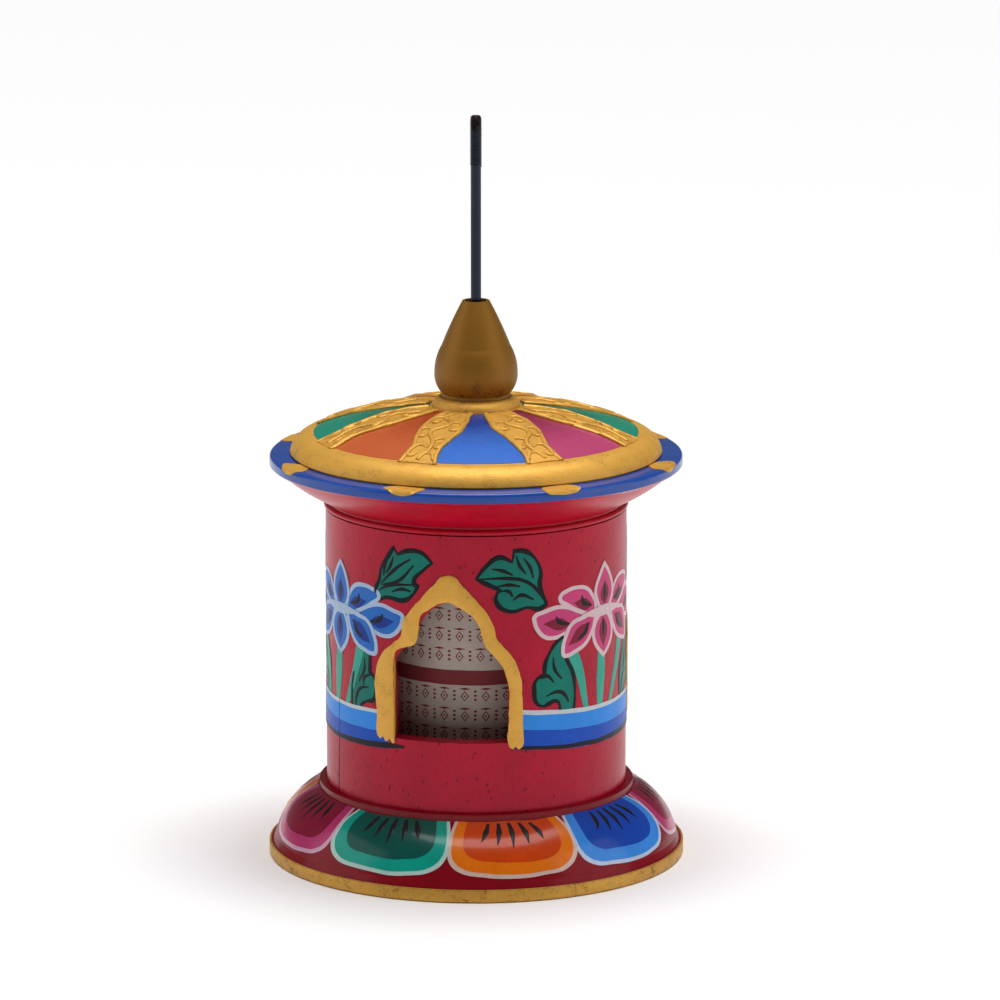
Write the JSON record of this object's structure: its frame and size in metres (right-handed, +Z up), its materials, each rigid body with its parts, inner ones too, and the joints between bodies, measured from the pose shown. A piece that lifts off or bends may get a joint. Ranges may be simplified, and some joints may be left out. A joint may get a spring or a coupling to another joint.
{
  "type": "table-top prayer wheel",
  "caption": "Table-top prayer wheel: a painted wooden case with arched windows, a lift-off domed roof and a paper-filled drum that turns on a threaded steel spindle.",
  "frame": {"origin": "middle of the foot's underside, where the object stands", "axes": "+Z up along the spindle, -Y out through the front window"},
  "size_m": [0.0804, 0.0804, 0.1442],
  "materials": {
    "foot_paint": "hand-painted lotus petals on deep red, satin varnish, gilt band at the bottom",
    "barrel_paint": "brushed crimson paint with painted flowers and bands, satin varnish",
    "cornice_paint": "crimson paint with an ultramarine rim, gloss varnish",
    "dome_paint": "pale gold paint with coloured panels, satin",
    "antique_gold": "dark antique gold paint, grainy satin",
    "gilt_gesso": "raised gesso under gold paint, sandy",
    "spoke_steel": "drawn spoke wire with a rolled thread",
    "bearing_brass": "turned",
    "bare_wood": "turned, unfinished",
    "rolled_paper": "edge of wound paper",
    "printed_paper": "thin handmade paper with printed rows of ornament in dull red"
  },
  "bodies": {
    "case": {"foot": "foot_paint", "barrel": "barrel_paint", "window_border_1": "gilt_gesso", "window_border_2": "gilt_gesso", "window_border_3": "gilt_gesso", "pivot_cup": "bearing_brass"},
    "drum": {"spindle": "spoke_steel", "lower_collar": "bare_wood", "upper_collar": "bare_wood", "lower_cheek": "bare_wood", "upper_cheek": "bare_wood", "drum_core": "bare_wood", "prayer_roll": "rolled_paper", "printed_wrapper": "printed_paper"},
    "roof": {"cornice": "cornice_paint", "dome": "dome_paint", "dome_rib_1": "gilt_gesso", "dome_rib_2": "gilt_gesso", "dome_rib_3": "gilt_gesso", "dome_rib_4": "gilt_gesso", "dome_rib_5": "gilt_gesso", "dome_rib_6": "gilt_gesso", "dome_rib_7": "gilt_gesso", "dome_rib_8": "gilt_gesso", "finial": "antique_gold", "top_bush": "bearing_brass"}
  },
  "joints": [
    {"name": "drum_spin", "type": "hinge", "parent": "case", "child": "drum", "pos_m": [0, 0, 0.01], "axis": [0, 0, 1], "continuous": true},
    {"name": "roof_lift", "type": "slide", "parent": "case", "child": "roof", "axis": [0, 0, 1], "range_m": [0, 0.1]}
  ]
}
